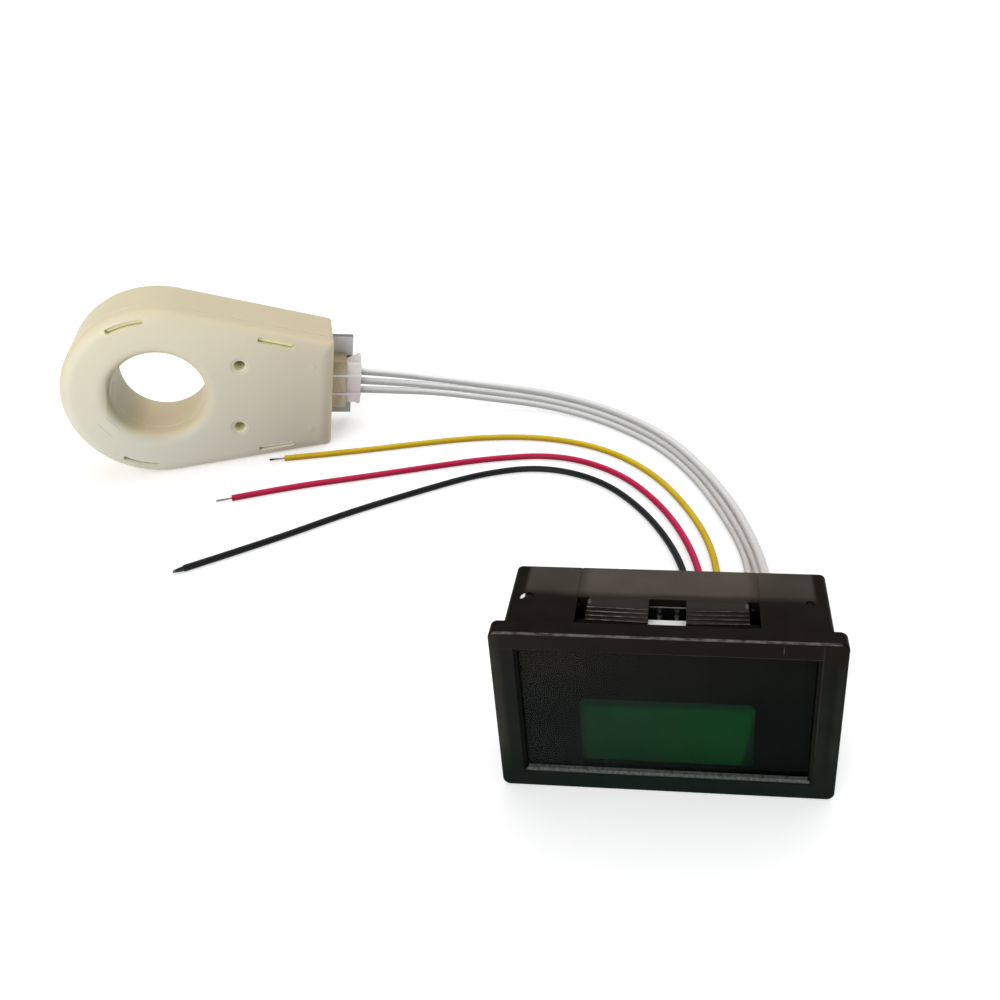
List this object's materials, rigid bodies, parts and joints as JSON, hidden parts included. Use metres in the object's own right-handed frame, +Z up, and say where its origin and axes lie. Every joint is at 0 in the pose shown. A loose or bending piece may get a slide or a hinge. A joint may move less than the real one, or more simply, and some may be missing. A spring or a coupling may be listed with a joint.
{
  "type": "battery monitor",
  "caption": "Panel meter with a dark display window and snap fingers, bare power leads, and a closed-ring current sensor plugged in by a three-wire lead.",
  "frame": {"origin": "middle of the bezel's lower face, on the surface that the meter and the sensor stand on", "axes": "+X to the right along the bezel, +Y back from the display, +Z up"},
  "size_m": [0.1658, 0.12, 0.04],
  "materials": {
    "case_black": "black moulded plastic with a satin gloss",
    "smoked_acrylic": "clear smoked acrylic, polished",
    "mask_black": "matt black film",
    "display_green": "dark green display glass",
    "diffuser_white": "milky white light box",
    "tinned_pin": "tinned pin, dull bright",
    "board_green": "green solder mask",
    "board_grey": "pale grey bare board",
    "chip_black": "black moulding compound",
    "ceramic_tan": "tan ceramic",
    "header_tan": "aged natural nylon, tan",
    "plug_white": "natural white nylon, slightly translucent",
    "sensor_cream": "cream moulded plastic with a satin gloss",
    "core_ferrite": "dark sintered ferrite",
    "trimmer_blue": "blue moulded plastic",
    "adjuster_brass": "turned brass",
    "wire_white": "white soft vinyl insulation",
    "wire_black": "black soft vinyl insulation",
    "wire_red": "red soft vinyl insulation",
    "wire_yellow": "yellow soft vinyl insulation",
    "bare_copper": "bare stranded copper"
  },
  "bodies": {
    "meter": {"housing": "case_black", "front_lens": "smoked_acrylic", "display_mask": "mask_black", "display_glass": "display_green", "display_backlight": "diffuser_white", "display_pins": "tinned_pin", "main_board": "board_green", "measuring_chip": "chip_black", "voltage_regulator": "chip_black", "board_capacitors": "ceramic_tan", "meter_header": "header_tan", "meter_header_pins": "tinned_pin", "rear_cover": "case_black", "wire_black": "wire_black", "wire_black_strands": "bare_copper", "wire_red": "wire_red", "wire_red_strands": "bare_copper", "wire_yellow": "wire_yellow", "wire_yellow_strands": "bare_copper"},
    "finger_top_left": {"snap_finger_top_left": "case_black"},
    "finger_top_right": {"snap_finger_top_right": "case_black"},
    "finger_bottom_left": {"snap_finger_bottom_left": "case_black"},
    "finger_bottom_right": {"snap_finger_bottom_right": "case_black"},
    "sensor_lead": {"meter_plug": "plug_white", "meter_plug_terminals": "tinned_pin", "sensor_wire_upper": "wire_white", "sensor_wire_middle": "wire_white", "sensor_wire_lower": "wire_white", "sensor_plug": "plug_white", "sensor_plug_terminals": "tinned_pin"},
    "sensor": {"sensor_case": "sensor_cream", "sensor_lid": "sensor_cream", "flux_core": "core_ferrite", "hall_element": "chip_black", "sensor_board": "board_grey", "amplifier_chip": "chip_black", "sensor_capacitors": "ceramic_tan", "trimmer_body_upper": "trimmer_blue", "trimmer_body_lower": "trimmer_blue", "sensor_header": "header_tan", "sensor_header_pins": "tinned_pin"},
    "adjuster_upper": {"trimmer_adjuster_upper": "adjuster_brass"},
    "adjuster_lower": {"trimmer_adjuster_lower": "adjuster_brass"}
  },
  "joints": [
    {"name": "finger_top_left_flex", "type": "hinge", "parent": "meter", "child": "finger_top_left", "pos_m": [-0.00702, 0.00845, 0.0279], "axis": [1, 0, 0], "range_deg": [0, 7], "stiffness_Nm_per_rad": 0.02},
    {"name": "finger_top_right_flex", "type": "hinge", "parent": "meter", "child": "finger_top_right", "pos_m": [0.00702, 0.00845, 0.0279], "axis": [1, 0, 0], "range_deg": [0, 7], "stiffness_Nm_per_rad": 0.02},
    {"name": "finger_bottom_left_flex", "type": "hinge", "parent": "meter", "child": "finger_bottom_left", "pos_m": [-0.00702, 0.00845, 0.0014], "axis": [1, 0, 0], "range_deg": [-7, 0], "stiffness_Nm_per_rad": 0.02},
    {"name": "finger_bottom_right_flex", "type": "hinge", "parent": "meter", "child": "finger_bottom_right", "pos_m": [0.00702, 0.00845, 0.0014], "axis": [1, 0, 0], "range_deg": [-7, 0], "stiffness_Nm_per_rad": 0.02},
    {"name": "meter_plug_pull", "type": "slide", "parent": "meter", "child": "sensor_lead", "axis": [0, 1, 0], "range_m": [0, 0.007]},
    {"name": "sensor_plug_pull", "type": "slide", "parent": "sensor_lead", "child": "sensor", "axis": [-0.9137, -0.3618, 0.1849], "range_m": [0, 0.007]},
    {"name": "adjuster_upper_turn", "type": "hinge", "parent": "sensor", "child": "adjuster_upper", "pos_m": [-0.10288, 0.09872, 0.02448], "axis": [-0.3681, 0.9298, 0], "range_deg": [-135, 135]},
    {"name": "adjuster_lower_turn", "type": "hinge", "parent": "sensor", "child": "adjuster_lower", "pos_m": [-0.10556, 0.09766, 0.00914], "axis": [-0.3681, 0.9298, 0], "range_deg": [-135, 135]}
  ]
}
